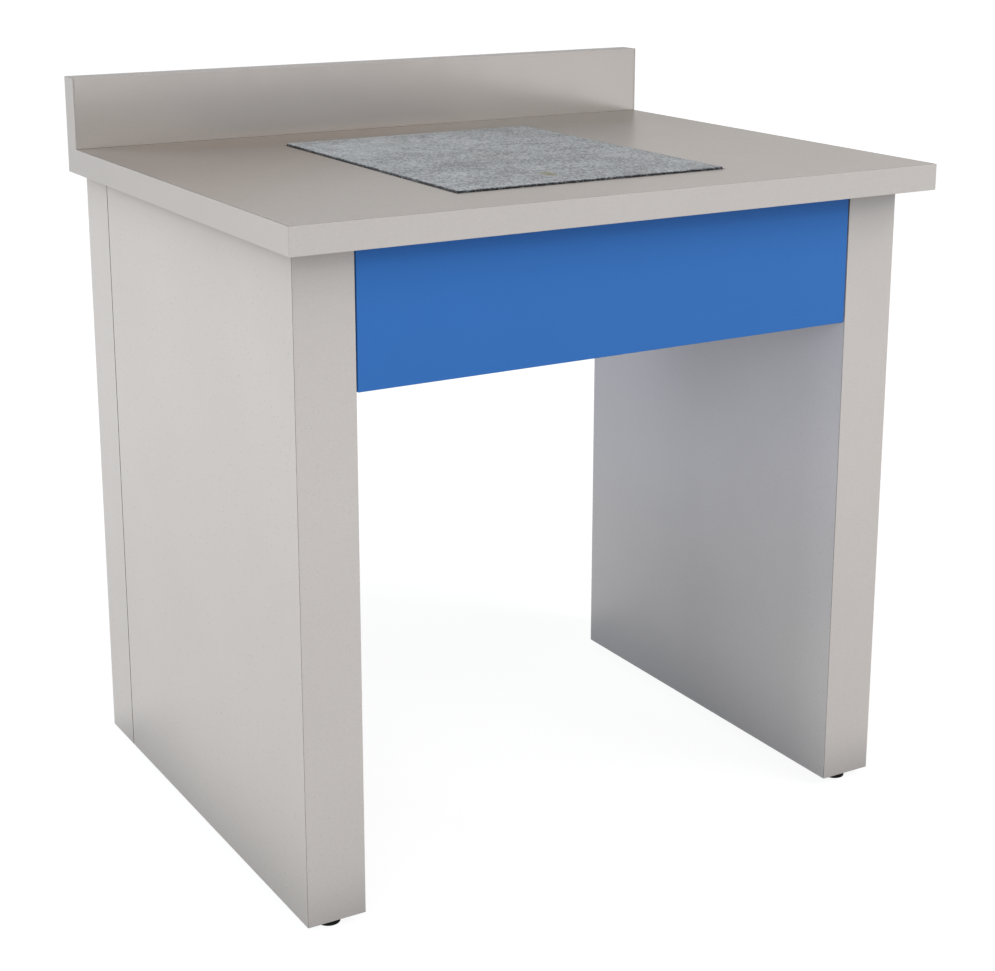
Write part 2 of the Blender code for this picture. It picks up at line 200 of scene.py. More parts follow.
def speckle(tree, place, cell, size, seed=0.0, blur=0.2):
    """Round specks, one to a cell: 1 inside a speck, 0 elsewhere. Cell and size are in metres."""
    moved = add_node(tree, "Mapping", {"Vector": place, "Location": (seed, seed, seed)}).outputs[0]
    cells = add_node(tree, "TexVoronoi", {"Vector": moved, "Scale": 1 / cell, "Randomness": 1.0})
    edge = size / cell / 2
    low, high = edge * (1 - blur), edge * (1 + blur)
    return ramp(tree, cells.outputs["Distance"], low, high, 1.0, 0.0)


def random_cells(tree, place, size):
    """Voronoi cells about as large as size, in metres, each with a random tone from 0 to 1."""
    cells = add_node(tree, "TexVoronoi", {"Vector": place, "Scale": 1 / size})
    return add_node(tree, "SeparateColor", {0: cells.outputs["Color"]}).outputs[0]


def cloud(tree, place, size, detail=3.0, roughness=0.5, distortion=0.0):
    """Noise whose patches are about as large as size, in metres."""
    return add_node(tree, "TexNoise", {
        "Vector": place, "Scale": 1 / size, "Detail": detail, "Roughness": roughness,
        "Distortion": distortion,
    }).outputs["Fac"]


def along(tree, place, way):
    """How far a point lies along a direction from the origin, in metres."""
    return add_node(tree, "VectorMath", {0: place, 1: way}, operation="DOT_PRODUCT").outputs["Value"]


def apart(tree, place, centre):
    """How far a point lies from a centre, in metres."""
    return add_node(tree, "VectorMath", {0: place, 1: centre}, operation="DISTANCE").outputs["Value"]


def facing_up(tree, kind="Normal"):
    """The upward share of the surface normal: 1 on a top face, 0 on an upright one."""
    normal = add_node(tree, "NewGeometry").outputs[kind]
    return add_node(tree, "SeparateXYZ", {0: normal}).outputs["Z"]


print("pattern helpers are ready")

# %% [markdown]
# ## Laminate
#
# The boards are faced with a light grey melamine film. From a step away it is plain, but up
# close it carries a fine printed grain and, every few centimetres, a dark speck one or two
# millimetres wide, with paler ones between them. Its surface has a satin gloss with a pearl
# texture, so the worktop mirrors the upstand where the two meet and blurs it further out. Two
# noises make the grain and the slow drift of tone, two Voronoi textures make the specks, and
# two more noises make the gloss uneven and drive the bump. A share of metal makes the gloss,
# because it mirrors the surroundings in the board's own tone, from the front as well as from
# the side.
#
# Worktop, inner panels, upstand, front and sides each have a tone of their own, some also a gloss and
# a strength of speck of their own, and the apron has the same print in blue. One function makes them
# all. Five options add what only some boards have:
#
# - a dark line painted along the joint where the strip behind each outer panel begins, as the shade
#   in the gap between them (seam)
# - a duller tone on faces that look up (top_tone)
# - a painted shade that fades out below the worktop's overhang (painted_overhang_shading); the
#   apron's is turned round and is painted light on its rim, because the lamps alone leave it too dark
#   there
# - painted light and shade that change slowly along a direction, such as the inner panels' lighter
#   front (painted_sweeps)
# - one painted tint along a direction: a painted reflection that makes the worktop browner to the
#   rear left, and painted light that makes the inner panels bluer towards the top (painted_tint)

# %% Measures and tones of the laminates
GRAIN_SIZE = 1.8 * MM
DRIFT_SIZE, DRIFT = 160 * MM, 0.012
SPECK_CELL, SPECK_SIZE = 9 * MM, 1.7 * MM
PALE_SPECK_CELL, PALE_SPECK_SIZE, PALE_SPECK_SEED = 5.4 * MM, 1.4 * MM, 0.3
PALE_SPECK_STRENGTH = 0.5
SMEAR_SIZE, SMEAR = 45 * MM, 0.02
PEARL_SIZE, PEARL_DEPTH, PEARL_BUMP = 1.6 * MM, 0.2 * MM, 0.03
LAMINATE_METAL = 0.36
UPSTAND_METAL = 0.58
LAMINATE_GREY = (0.560, 0.522, 0.490)
LAMINATE_SPECK = (0.48, 0.446, 0.418)
SIDE_SPECK = (0.40, 0.362, 0.335)
WORKTOP_GREY = (0.540, 0.504, 0.473)
INNER_GREY = (0.472, 0.453, 0.443)
UPSTAND_GREY = (0.538, 0.501, 0.470)
UPSTAND_SPECK = (0.50, 0.465, 0.436)
EDGE_GREY = (0.535, 0.499, 0.468)
END_GREY = (0.482, 0.449, 0.421)
# the colour painted as the shade in the seam's gap
SEAM_SHADE = (0.030, 0.025, 0.020)
SEAM_HALF, SEAM_BLUR = 0.9 * MM, 0.1 * MM
APRON_BLUE = (0.036, 0.151, 0.440)
APRON_SPECK = (0.033, 0.144, 0.425)
FACES_UP = (0.5, 0.9)
BAND_TOP_TONE = 0.70
UPSTAND_TOP_TONE = 0.52
# painted shade below the worktop's overhang; the apron's is turned round and paints light on its rim
SIDE_PAINTED_SHADE = (0.33, 30 * MM)
FRONT_PAINTED_SHADE = (0.20, 65 * MM)
APRON_PAINTED_LIGHT = (-0.48, 11 * MM)
leg_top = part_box("left_outer_panel")[1].z
leg_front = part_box("left_front_board")[0].y
ACROSS, ALONG, UP = (1, 0, 0), (0, 1, 0), (0, 0, 1)
TO_REAR_LEFT = (-0.7, 0.7, 0)
# painted shade under the worktop, behind the apron
INNER_PAINTED_SHADE = (0.75, 120 * MM)
# painted light: the inner panels lighter at the front and at the rear
INNER_PAINTED_SWEEPS = (
    (ALONG, (leg_front, leg_front + 80 * MM), (1.09, 1.0)),
    (ALONG, (leg_front, leg_front + 340 * MM), (1.23, 0.955)),
    (ALONG, (leg_front + 400 * MM, leg_front + 610 * MM), (1.0, 1.12)),
)
# painted light: the inner panels bluer towards the top
INNER_PAINTED_TINT = (UP, (200 * MM, 750 * MM), (0.484, 0.480, 0.522))
# painted shade: the end bands darker to the rear
END_PAINTED_SWEEPS = ((ALONG, (worktop_low.y, worktop_high.y), (1.03, 0.91)),)
# painted reflection: the upstand lighter at its left end and darker at its right end
UPSTAND_PAINTED_SWEEPS = (
    (ACROSS, (-475 * MM, -200 * MM), (1.07, 1.0)), (ACROSS, (150 * MM, 450 * MM), (1.0, 0.93)),
)
# painted reflection: the worktop browner and darker to the rear left, where it mirrors the upstand
WORKTOP_PAINTED_TINT = (TO_REAR_LEFT, (80 * MM, 260 * MM), (0.520, 0.463, 0.421))
print("the painted shade starts", round(leg_top / MM), "mm above the floor")

# %% Laminate function
def laminate_finish(
    name, colour, speck, grain=0.03, gloss=0.31, metal=LAMINATE_METAL, specular=0.0, seam=None,
    top_tone=None, painted_overhang_shading=None, painted_sweeps=(), painted_tint=None,
):
    """A laminate; grain is its contrast, gloss its roughness, speck the colour of its specks."""
    made, tree, shader, place = new_finish(name, Metallic=metal, Specular_IOR_Level=specular)
    fine = cloud(tree, place, GRAIN_SIZE, detail=2.0, roughness=0.6)
    drift = cloud(tree, place, DRIFT_SIZE, detail=2.0)
    shade = calculate(
        tree, "ADD", spread(tree, fine, 1 - grain, 1 + grain), spread(tree, drift, -DRIFT, DRIFT),
    )
    if top_tone is not None:
        upward = facing_up(tree, "True Normal")
        shade = calculate(tree, "MULTIPLY", shade, ramp(tree, upward, *FACES_UP, 1.0, top_tone))
    # painted shade that fades out downwards from the top of the legs; a negative strength paints
    # light
    if painted_overhang_shading is not None:
        strength, reach = painted_overhang_shading
        height = calculate(tree, "SUBTRACT", along(tree, place, UP), leg_top)
        depth = calculate(tree, "DIVIDE", height, reach)
        fading = calculate(tree, "MULTIPLY", calculate(tree, "EXPONENT", depth), -strength)
        shade = calculate(tree, "MULTIPLY", shade, calculate(tree, "ADD", fading, 1.0))
    # painted light and shade that change along a direction
    for way, span, tones in painted_sweeps:
        shade = calculate(tree, "MULTIPLY", shade, ramp(tree, along(tree, place, way), *span, *tones))
    # a painted tint of light and reflection along a direction
    if painted_tint is not None:
        way, span, far_colour = painted_tint
        colour = mix_colours(tree, ramp(tree, along(tree, place, way), *span), colour, far_colour)
    toned = add_node(tree, "VectorMath", {0: colour, 1: shade}, operation="MULTIPLY")
    pale_specks = speckle(tree, place, PALE_SPECK_CELL, PALE_SPECK_SIZE, PALE_SPECK_SEED)
    specks = calculate(
        tree, "MAXIMUM", speckle(tree, place, SPECK_CELL, SPECK_SIZE),
        calculate(tree, "MULTIPLY", pale_specks, PALE_SPECK_STRENGTH),
    )
    tinted = mix_colours(tree, specks, toned.outputs[0], speck)
    # the seam is painted dark as the shade in the gap
    if seam is not None:
        near = calculate(tree, "SUBTRACT", along(tree, place, ALONG), seam)
        near = calculate(tree, "ABSOLUTE", near)
        near = ramp(tree, near, SEAM_HALF, SEAM_HALF + SEAM_BLUR, 1.0, 0.0)
        tinted = mix_colours(tree, near, tinted, SEAM_SHADE)
    colour_by(tree, shader, tinted)
    smear = cloud(tree, place, SMEAR_SIZE, roughness=0.55)
    gloss_by(tree, shader, spread(tree, smear, gloss - SMEAR, gloss + SMEAR))
    add_bump(tree, shader, cloud(tree, place, PEARL_SIZE, detail=1.0), PEARL_BUMP, PEARL_DEPTH)
    return made


print("a laminate has a grain of", GRAIN_SIZE / MM, "mm and specks of", SPECK_SIZE / MM, "mm")

# %% Laminate finishes
grey_laminate = laminate_finish("grey_laminate", LAMINATE_GREY, LAMINATE_SPECK, painted_overhang_shading=FRONT_PAINTED_SHADE)
worktop_laminate = laminate_finish(
    "worktop_laminate", WORKTOP_GREY, LAMINATE_SPECK, grain=0.09, painted_tint=WORKTOP_PAINTED_TINT,
)
inner_laminate = laminate_finish(
    "inner_laminate", INNER_GREY, LAMINATE_SPECK, painted_overhang_shading=INNER_PAINTED_SHADE, painted_sweeps=INNER_PAINTED_SWEEPS,
    painted_tint=INNER_PAINTED_TINT,
)
upstand_laminate = laminate_finish(
    "upstand_laminate", UPSTAND_GREY, UPSTAND_SPECK, grain=0.015, gloss=0.20,
    metal=UPSTAND_METAL, top_tone=UPSTAND_TOP_TONE, painted_sweeps=UPSTAND_PAINTED_SWEEPS,
)
edge_band = laminate_finish(
    "edge_band", EDGE_GREY, LAMINATE_SPECK, gloss=0.33, top_tone=BAND_TOP_TONE,
)
end_band = laminate_finish(
    "end_band", END_GREY, LAMINATE_SPECK, gloss=0.33, top_tone=BAND_TOP_TONE, painted_sweeps=END_PAINTED_SWEEPS,
)
seam_middle = (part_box("left_outer_panel")[1].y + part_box("left_rear_cover")[0].y) / 2
seamed_laminate = laminate_finish(
    "seamed_laminate", LAMINATE_GREY, SIDE_SPECK, seam=seam_middle, painted_overhang_shading=SIDE_PAINTED_SHADE,
)
blue_laminate = laminate_finish(
    "blue_laminate", APRON_BLUE, APRON_SPECK, grain=0.015, metal=0.0, specular=0.15,
    painted_overhang_shading=APRON_PAINTED_LIGHT,
)
print("made", grey_laminate.name, "and", blue_laminate.name)

# %% [markdown]
# ## Chipboard and beech
#
# Inside the boxed legs nothing is faced. The top boards are raw chipboard: flat wood chips of
# many tones pressed together. Voronoi cells, flattened, each with a tone of its own, give the
# chips, and a noise gives the dust between them. The foot blocks are beech, whose small dark
# flecks run along the grain, so there the noise is drawn out along Z.

# %% Raw wood finishes
CHIP_SIZE, CHIP_STRETCH = 3.2 * MM, (1.0, 1.0, 2.6)
DUST_SIZE = 1.1 * MM
CHIP_SHARE, DUST_SHARE = 0.6, 0.5
CHIP_DARK, CHIP_LIGHT = (0.23, 0.13, 0.06), (0.56, 0.41, 0.25)
BEECH_STRETCH = (1.0, 1.0, 0.12)
FLECK_SIZE, FLECK_SPAN, FLECK_STRENGTH = 1.2 * MM, (0.56, 0.68), 0.7
RING_SIZE, RING_SPAN, RING_STRENGTH = 9 * MM, (0.4, 0.7), 0.3
BEECH, BEECH_FLECK = (0.56, 0.37, 0.21), (0.30, 0.17, 0.08)


def chipboard_finish():
    made, tree, shader, place = new_finish("chipboard", Roughness=0.85)
    chips = random_cells(tree, stretch(tree, place, CHIP_STRETCH), CHIP_SIZE)
    dust = cloud(tree, place, DUST_SIZE, roughness=0.6)
    tone = weigh(tree, chips, CHIP_SHARE, dust, DUST_SHARE)
    colour_by(tree, shader, mix_colours(tree, tone, CHIP_DARK, CHIP_LIGHT))
    add_bump(tree, shader, tone, strength=0.35, distance=0.4 * MM)
    return made


def beech_finish():
    made, tree, shader, place = new_finish("beech", Roughness=0.6)
    lengthwise = stretch(tree, place, BEECH_STRETCH)
    flecks = cloud(tree, lengthwise, FLECK_SIZE, detail=2.0)
    rings = cloud(tree, lengthwise, RING_SIZE, distortion=1.0)
    dark = calculate(
        tree, "ADD", ramp(tree, flecks, *FLECK_SPAN, 0.0, FLECK_STRENGTH),
        ramp(tree, rings, *RING_SPAN, 0.0, RING_STRENGTH),
    )
    colour_by(tree, shader, mix_colours(tree, dark, BEECH, BEECH_FLECK))
    add_bump(tree, shader, flecks, strength=0.2, distance=0.2 * MM)
    return made


chipboard, beech = chipboard_finish(), beech_finish()
print("made", chipboard.name, "and", beech.name)

# %% [markdown]
# ## Metal, plastic and rubber
#
# The inner stand is powder coated: a matt light grey with a faint orange peel. Screws,
# angles, stems and inserts are zinc plated, which is metallic with soft cloudy spangles. The
# pads of the feet are moulded in black plastic with a fine spark-eroded texture, and the
# buffers are black rubber, duller, with a grey bloom in patches.

# %% Metal, plastic and rubber finishes
POWDER_DRIFT, POWDER_TONES = 60 * MM, (0.43, 0.47)
PEEL_SIZE, PEEL_DEPTH, PEEL_GLOSS = 1.5 * MM, 0.3 * MM, (0.42, 0.52)
ZINC_DARK, ZINC_LIGHT = (0.50, 0.50, 0.49), (0.68, 0.68, 0.66)
SPANGLE_SIZE, SPANGLE_GLOSS = 4 * MM, (0.26, 0.42)
FINE_DEPTH = 0.05 * MM
ZINC_PITS, MOULD_PITS = 0.5 * MM, 0.35 * MM
BLOOM_SPAN = (0.35, 0.7)


def powder_coat_finish():
    made, tree, shader, place = new_finish("powder_coat", Specular_IOR_Level=0.45)
    tone = spread(tree, cloud(tree, place, POWDER_DRIFT), *POWDER_TONES)
    colour_by(tree, shader, add_node(tree, "CombineColor", {0: tone, 1: tone, 2: tone}).outputs[0])
    peel = cloud(tree, place, PEEL_SIZE, detail=1.0)
    gloss_by(tree, shader, spread(tree, peel, *PEEL_GLOSS))
    add_bump(tree, shader, peel, strength=0.15, distance=PEEL_DEPTH)
    return made


def zinc_finish():
    made, tree, shader, place = new_finish("zinc_plate", Metallic=1.0)
    spangle = cloud(tree, place, SPANGLE_SIZE, roughness=0.6)
    colour_by(tree, shader, mix_colours(tree, spread(tree, spangle), ZINC_DARK, ZINC_LIGHT))
    gloss_by(tree, shader, spread(tree, spangle, *SPANGLE_GLOSS))
    pits = cloud(tree, place, ZINC_PITS, detail=2.0)
    add_bump(tree, shader, pits, strength=0.08, distance=FINE_DEPTH)
    return made


def black_finish(name, dark, light, bloom_size, gloss, bump):
    """Plastic or rubber that is a little lighter and duller in patches."""
    made, tree, shader, place = new_finish(name)
    bloom = cloud(tree, place, bloom_size, detail=4.0, roughness=0.6)
    patches = ramp(tree, bloom, *BLOOM_SPAN)
    colour_by(tree, shader, mix_colours(tree, patches, (dark, dark, dark), (light, light, light)))
    gloss_by(tree, shader, spread(tree, bloom, *gloss))
    pits = cloud(tree, place, MOULD_PITS, detail=2.0, roughness=0.6)
    add_bump(tree, shader, pits, strength=bump, distance=FINE_DEPTH)
    return made


powder_coat, zinc_plate = powder_coat_finish(), zinc_finish()
moulded_plastic = black_finish(
    "moulded_plastic", dark=0.005, light=0.008, bloom_size=6 * MM, gloss=(0.40, 0.52), bump=0.25,
)
buffer_rubber = black_finish(
    "buffer_rubber", dark=0.018, light=0.040, bloom_size=9 * MM, gloss=(0.70, 0.85), bump=0.15,
)
print("made", powder_coat.name, zinc_plate.name, moulded_plastic.name, buffer_rubber.name)

# %% [markdown]
# ## Stone
#
# The slab is a blue-grey stone with a honed top. Its grain is made of crystals a few mm wide,
# which are Voronoi cells with a tone of their own each, and of a finer pepper, which is noise.
# Clouds a few centimetres wide, faint streaks that run across the table, a slope of tone over the
# whole slab and two soft patches vary it. Two rusty flecks with ragged edges tint it, and the
# stronger one is two spots in a row. The sawn sides are coarser, and they are painted near black, for
# the darker sawn stone and for the shade in the gap round the slab. That shows as a dark speckled
# line where the slab stands proud of the worktop. The top and the sides share one tree: the surface
# normal's Z tells them apart.

# %% Stone finish
STONE_DARK = (0.085, 0.092, 0.099)
STONE_LIGHT = (0.43, 0.449, 0.466)
# the sides are painted near black: darker sawn stone, and painted shade in the gap round the slab
SAWN_SIDE_IN_SHADE = (0.012, 0.012, 0.013)
SAWN_GRAIN_IN_SHADE = (0.12, 0.125, 0.13)
GRAIN_STRETCH, STREAK_STRETCH = (1.0, 0.7, 1.0), (0.12, 1.0, 1.0)
CRYSTAL_SIZE, CRYSTAL_SHARE = 2.6 * MM, 0.45
PEPPER_SIZE, PEPPER_SHARE, PEPPER_DEPTH = 1.7 * MM, 0.6, 0.3 * MM
CLOUD_SIZE, CLOUD_TONE = 60 * MM, 0.10
STREAK_SIZE, STREAK_TONE = 9 * MM, 0.05
STONE_SLOPE, SLOPE_REACH, SLOPE_TONE = (-0.9, 0.7, 0.0), 300 * MM, 0.09

# A patch and a spot are a place on the slab, a radius, and how strong they are.
STONE_PATCHES = (((-0.08, -0.070), 200 * MM, -0.095), ((-0.05, 0.17), 230 * MM, 0.085))
RUST_SPOTS = (
    ((-0.033, -0.210), 12 * MM, 1.0), ((-0.032, -0.196), 12 * MM, 1.0),
    ((-0.014, -0.030), 25 * MM, 0.16),
)
STONE_RUST, RUST_FADE = (0.58, 0.48, 0.18), (0.3, 1.0)
RAGGED_SIZE, RAGGED_EDGE = 16 * MM, 0.7

STONE_TONES = (0.285, 0.795)
SIDE_TONES = (0.55, 0.95)
STONE_UP = (0.3, 0.8)
STONE_GLOSS = (0.40, 0.52)


def stone_finish():
    made, tree, shader, place = new_finish("honed_stone", Diffuse_Roughness=1.0)
    grains = stretch(tree, place, GRAIN_STRETCH)
    crystals = random_cells(tree, grains, CRYSTAL_SIZE)
    pepper = cloud(tree, grains, PEPPER_SIZE, detail=2.0, roughness=0.8)
    clouds = cloud(tree, place, CLOUD_SIZE, detail=4.0, roughness=0.55)
    streaks = cloud(tree, stretch(tree, place, STREAK_STRETCH), STREAK_SIZE, roughness=0.6)
    slope = along(tree, place, STONE_SLOPE)
    changes = [
        spread(tree, clouds, -CLOUD_TONE, CLOUD_TONE),
        spread(tree, streaks, -STREAK_TONE, STREAK_TONE),
        ramp(tree, slope, -SLOPE_REACH, SLOPE_REACH, -SLOPE_TONE, SLOPE_TONE),
    ]
    for (x, y), radius, change in STONE_PATCHES:
        away = apart(tree, place, (x, y, slab_high.z))
        changes.append(ramp(tree, away, 0.0, radius, change, 0.0))
    tone = weigh(tree, crystals, CRYSTAL_SHARE, pepper, PEPPER_SHARE)
    for change in changes:
        tone = calculate(tree, "ADD", tone, change)
    top = mix_colours(tree, ramp(tree, tone, *STONE_TONES), STONE_DARK, STONE_LIGHT)
    ragged = cloud(tree, place, RAGGED_SIZE, detail=4.0, roughness=0.7)
    ragged = spread(tree, ragged, -RAGGED_EDGE, RAGGED_EDGE)
    for (x, y), radius, strength in RUST_SPOTS:
        away = calculate(tree, "DIVIDE", apart(tree, place, (x, y, slab_high.z)), radius)
        rusty = ramp(tree, calculate(tree, "ADD", away, ragged), *RUST_FADE, strength, 0.0)
        top = mix_colours(tree, rusty, top, STONE_RUST, "MULTIPLY")
    # the sides: darker sawn stone and the painted shade in the gap round the slab
    side = mix_colours(tree, ramp(tree, crystals, *SIDE_TONES), SAWN_SIDE_IN_SHADE, SAWN_GRAIN_IN_SHADE)
    colour_by(tree, shader, mix_colours(tree, ramp(tree, facing_up(tree), *STONE_UP), side, top))
    gloss_by(tree, shader, spread(tree, pepper, *STONE_GLOSS))
    add_bump(tree, shader, pepper, strength=0.5, distance=PEPPER_DEPTH)
    return made


honed_stone = stone_finish()
print("made", honed_stone.name)

# %% [markdown]
# ## Dress the boards, tubes and angles
#
# The record names a material slot for each node, so one table from slot to finish dresses all
# of them in a loop. A second table goes by how a node's name ends: the foot blocks share a slot
# with the raw boards, but are beech, and the boards of laminate have their own tones.

# %% Assign finishes by slot
SLOT_FINISHES = {
    "laminate": grey_laminate,
    "apron_board": blue_laminate,
    "bare_board": chipboard,
    "stone": honed_stone,
    "black_plastic": moulded_plastic,
    "black_rubber": buffer_rubber,
    "painted_steel": powder_coat,
    "zinc_steel": zinc_plate,
}

SPECIAL_FINISHES = {
    "foot_block": beech,
    "worktop_panel": worktop_laminate,
    "inner_panel": inner_laminate,
    "upstand": upstand_laminate,
    "end_band": end_band,
    "edge_band": edge_band,
    "outer_panel": seamed_laminate,
    "rear_cover": seamed_laminate,
}

for subpart in frame["record"]["subparts"]:
    name, slot = subpart["node"], subpart["material_slot"]
    finish = SLOT_FINISHES[slot]
    for ending, special in SPECIAL_FINISHES.items():
        if name.endswith(ending):
            finish = special
    for used in nodes[name].material_slots:
        used.material = finish
finishes = {*SLOT_FINISHES.values(), *SPECIAL_FINISHES.values()}
print("dressed", len(nodes), "nodes in", len(finishes), "finishes")

# %% [markdown]
# ## Ways to make a piece
#
# Each new piece is a bmesh that starts from a simple shape, in world places and in metres. One helper
# turns it into an object at the origin with its finish, names the body that carries it, and hides the
# nodes that it stands for. The others turn a profile round an upright axis, draw the rounded parts of
# such a profile, read a round node's place, and cut by a plane.

# %% Piece helper
SHARP = math.radians(35)
SAME_PLACE = 0.001 * MM
NEARLY_SAME_PLACE = 0.01 * MM


def finish_piece(name, shape, finish, body, replaced=(), smooth=True):
    """Makes the bmesh an object that rides on a body and may stand for CAD nodes."""
    bmesh.ops.remove_doubles(shape, verts=shape.verts, dist=SAME_PLACE)
    bmesh.ops.recalc_face_normals(shape, faces=shape.faces)
    mesh = bpy.data.meshes.new(name)
    shape.to_mesh(mesh)
    shape.free()
    mesh.materials.append(finish)
    if smooth:
        mesh.shade_smooth()
        mesh.set_sharp_from_angle(angle=SHARP)
    piece = bpy.data.objects.new(name, mesh)
    bpy.context.scene.collection.objects.link(piece)
    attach(piece, body)
    if replaced:
        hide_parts(*replaced)
    return piece


print("points closer than", SAME_PLACE / MM, "mm are merged")

# %% Shape helpers
def turn_profile(profile, axis_place, steps):
    """Spins a chain of (radius, height) points once round the upright axis at axis_place."""
    shape = bmesh.new()
    x, y = axis_place
    chain = [shape.verts.new((x + radius, y, height)) for radius, height in profile]
    edges = [shape.edges.new(pair) for pair in zip(chain, chain[1:])]
    bmesh.ops.spin(
        shape, geom=chain + edges, cent=(x, y, 0), axis=(0, 0, 1), dvec=(0, 0, 0),
        angle=2 * math.pi, steps=steps, use_merge=True, use_duplicate=False,
    )
    return shape


def arc(centre, radius, start, end, steps=4):
    """Points of a profile on an arc; the angles are in degrees, 0 outward and 90 upward."""
    angles = [math.radians(start + (end - start) * step / steps) for step in range(steps + 1)]
    return [(centre[0] + radius * math.cos(a), centre[1] + radius * math.sin(a)) for a in angles]


def disc_profile(radius, low, high, rounding):
    """Half the outline of a disc with rounded rims."""
    middle = radius - rounding
    return [
        (0, low), *arc((middle, low + rounding), rounding, -90, 0, 3),
        *arc((middle, high - rounding), rounding, 0, 90, 3), (0, high),
    ]


def axis_of(node):
    """Where the upright axis of a round node stands, with its lowest and highest level."""
    low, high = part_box(node)
    return ((low.x + high.x) / 2, (low.y + high.y) / 2), low.z, high.z


def radius_of(node):
    """The radius of a round node."""
    low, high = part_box(node)
    return (high.x - low.x) / 2


def cut_off(shape, place, normal):
    """Cuts the shape by a plane, drops what the normal points at, and closes the cut."""
    cut = bmesh.ops.bisect_plane(
        shape, geom=shape.verts[:] + shape.edges[:] + shape.faces[:], plane_co=place,
        plane_no=normal, clear_outer=True,
    )
    rim = [part for part in cut["geom_cut"] if isinstance(part, bmesh.types.BMEdge)]
    bmesh.ops.contextual_create(shape, geom=rim)


print("shape helpers are ready")

# %% [markdown]
# ## The worktop's edge bands
#
# The cut edges of the worktop are covered by laminate bands 2 mm thick: one along the front,
# and an L-shaped one on each end that covers the end of the upstand too. They are mitred at the
# front corners, so the joint lies right on the corner and shows as a hairline. The front band
# is a box and each end band an outline drawn out sideways. Both are made too long at first,
# because their arrises can then be eased by a bevel before a plane cuts the mitre through it.

# %% Band helpers
BAND_ROUND = 0.4 * MM
BAND_HAIRLINE = 0.1 * MM
MITRE_GAP = 0.12 * MM
MITRE_EXTRA = 5 * MM

table_low, table_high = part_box("left_end_band")[0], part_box("right_end_band")[1]
upstand_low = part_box("upstand")[0]
front, rear, under = table_low.y, table_high.y, table_low.z


def ease_arrises(shape):
    bmesh.ops.bevel(
        shape, geom=shape.edges[:], offset=BAND_ROUND, offset_type="OFFSET", segments=2,
        profile=0.5, affect="EDGES", clamp_overlap=True, material=-1,
    )


def mitre(shape, out, to_front):
    """Cuts a band at the front corner on side out, for the front band or for the end band."""
    across = Vector((out, 1, 0)).normalized()
    if not to_front:
        across = -across
    corner = Vector((out * table_high.x, front, 0))
    cut_off(shape, corner - across * MITRE_GAP / 2, across)


print("the bands' arrises are rounded by", BAND_ROUND / MM, "mm")

# %% Edge bands
shape = bmesh.new()
bmesh.ops.create_cube(shape, size=1.0)
low = Vector((table_low.x - MITRE_EXTRA, front, under))
high = Vector((table_high.x + MITRE_EXTRA, worktop_low.y - BAND_HAIRLINE, worktop_high.z))
bmesh.ops.scale(shape, verts=shape.verts, vec=high - low)
bmesh.ops.translate(shape, verts=shape.verts, vec=(low + high) / 2)
ease_arrises(shape)
for out in (-1, 1):
    mitre(shape, out, True)
finish_piece(
    "mitred_front_band", shape, edge_band, "table", ["front_edge_band"], smooth=False,
)

for side, out in (("left", -1), ("right", 1)):
    shape = bmesh.new()
    inner = out * (worktop_high.x + BAND_HAIRLINE)
    outline = [
        (front - MITRE_EXTRA, under), (rear, under), (rear, table_high.z),
        (upstand_low.y, table_high.z), (upstand_low.y, worktop_high.z),
        (front - MITRE_EXTRA, worktop_high.z),
    ]
    face = shape.faces.new([shape.verts.new((inner, y, z)) for y, z in outline])
    drawn = bmesh.ops.extrude_face_region(shape, geom=[face])["geom"]
    moved = [part for part in drawn if isinstance(part, bmesh.types.BMVert)]
    bmesh.ops.translate(shape, verts=moved, vec=(out * table_high.x - inner, 0, 0))
    bmesh.ops.recalc_face_normals(shape, faces=shape.faces)
    ease_arrises(shape)
    mitre(shape, out, False)
    finish_piece(
        f"mitred_{side}_band", shape, end_band, "table", [side + "_end_band"],
        smooth=False,
    )
print("bands of", round((high.y - low.y) / MM, 1), "mm with mitred front corners")

# %% [markdown]
# ## The stone slab
#
# The slab is 40 mm of honed stone with a small rounded arris, and stone doesn't keep a clean
# arris: it loses little chips. The block is cut into a 5 mm grid so the arris has points every
# 5 mm. A bevel rounds all its edges, and a noise then says where the points of the upper rim
# sink in.

# %% Stone slab
SLAB_GRID = 5 * MM
SLAB_ARRIS = 1.2 * MM
CHIP_LENGTH = 9 * MM
CHIP_START = 0.12
CHIP_DEPTH = 1.6 * MM

shape = bmesh.new()
bmesh.ops.create_cube(shape, size=1.0)
slab_size, slab_middle = slab_high - slab_low, (slab_low + slab_high) / 2
bmesh.ops.scale(shape, verts=shape.verts, vec=slab_size)
bmesh.ops.translate(shape, verts=shape.verts, vec=slab_middle)
for axis in (0, 1):
    lengthwise = [
        edge for edge in shape.edges
        if abs((edge.verts[0].co - edge.verts[1].co)[axis]) > slab_size[axis] / 2
    ]
    cuts = round(slab_size[axis] / SLAB_GRID) - 1
    bmesh.ops.subdivide_edges(shape, edges=lengthwise, cuts=cuts)
arrises = [edge for edge in shape.edges if edge.calc_face_angle(0) > SHARP]
bmesh.ops.bevel(
    shape, geom=arrises, offset=SLAB_ARRIS, offset_type="OFFSET", segments=3, profile=0.5,
    affect="EDGES", clamp_overlap=True, material=-1,
)
chipped = 0
for vert in shape.verts:
    above, below = slab_high - vert.co, vert.co - slab_low
    if above.z > SLAB_ARRIS or min(*above.xy, *below.xy) > SLAB_ARRIS:
        continue
    worn = noise.noise(vert.co / CHIP_LENGTH) - CHIP_START
    if worn > 0:
        inward = slab_middle - vert.co
        inward.z = -abs(max(inward.xy, key=abs))
        vert.co += inward.normalized() * CHIP_DEPTH * worn
        chipped += 1
finish_piece("granite_slab", shape, honed_stone, "slab", ["stone_slab"])
print("slab with", chipped, "points of its arris chipped")

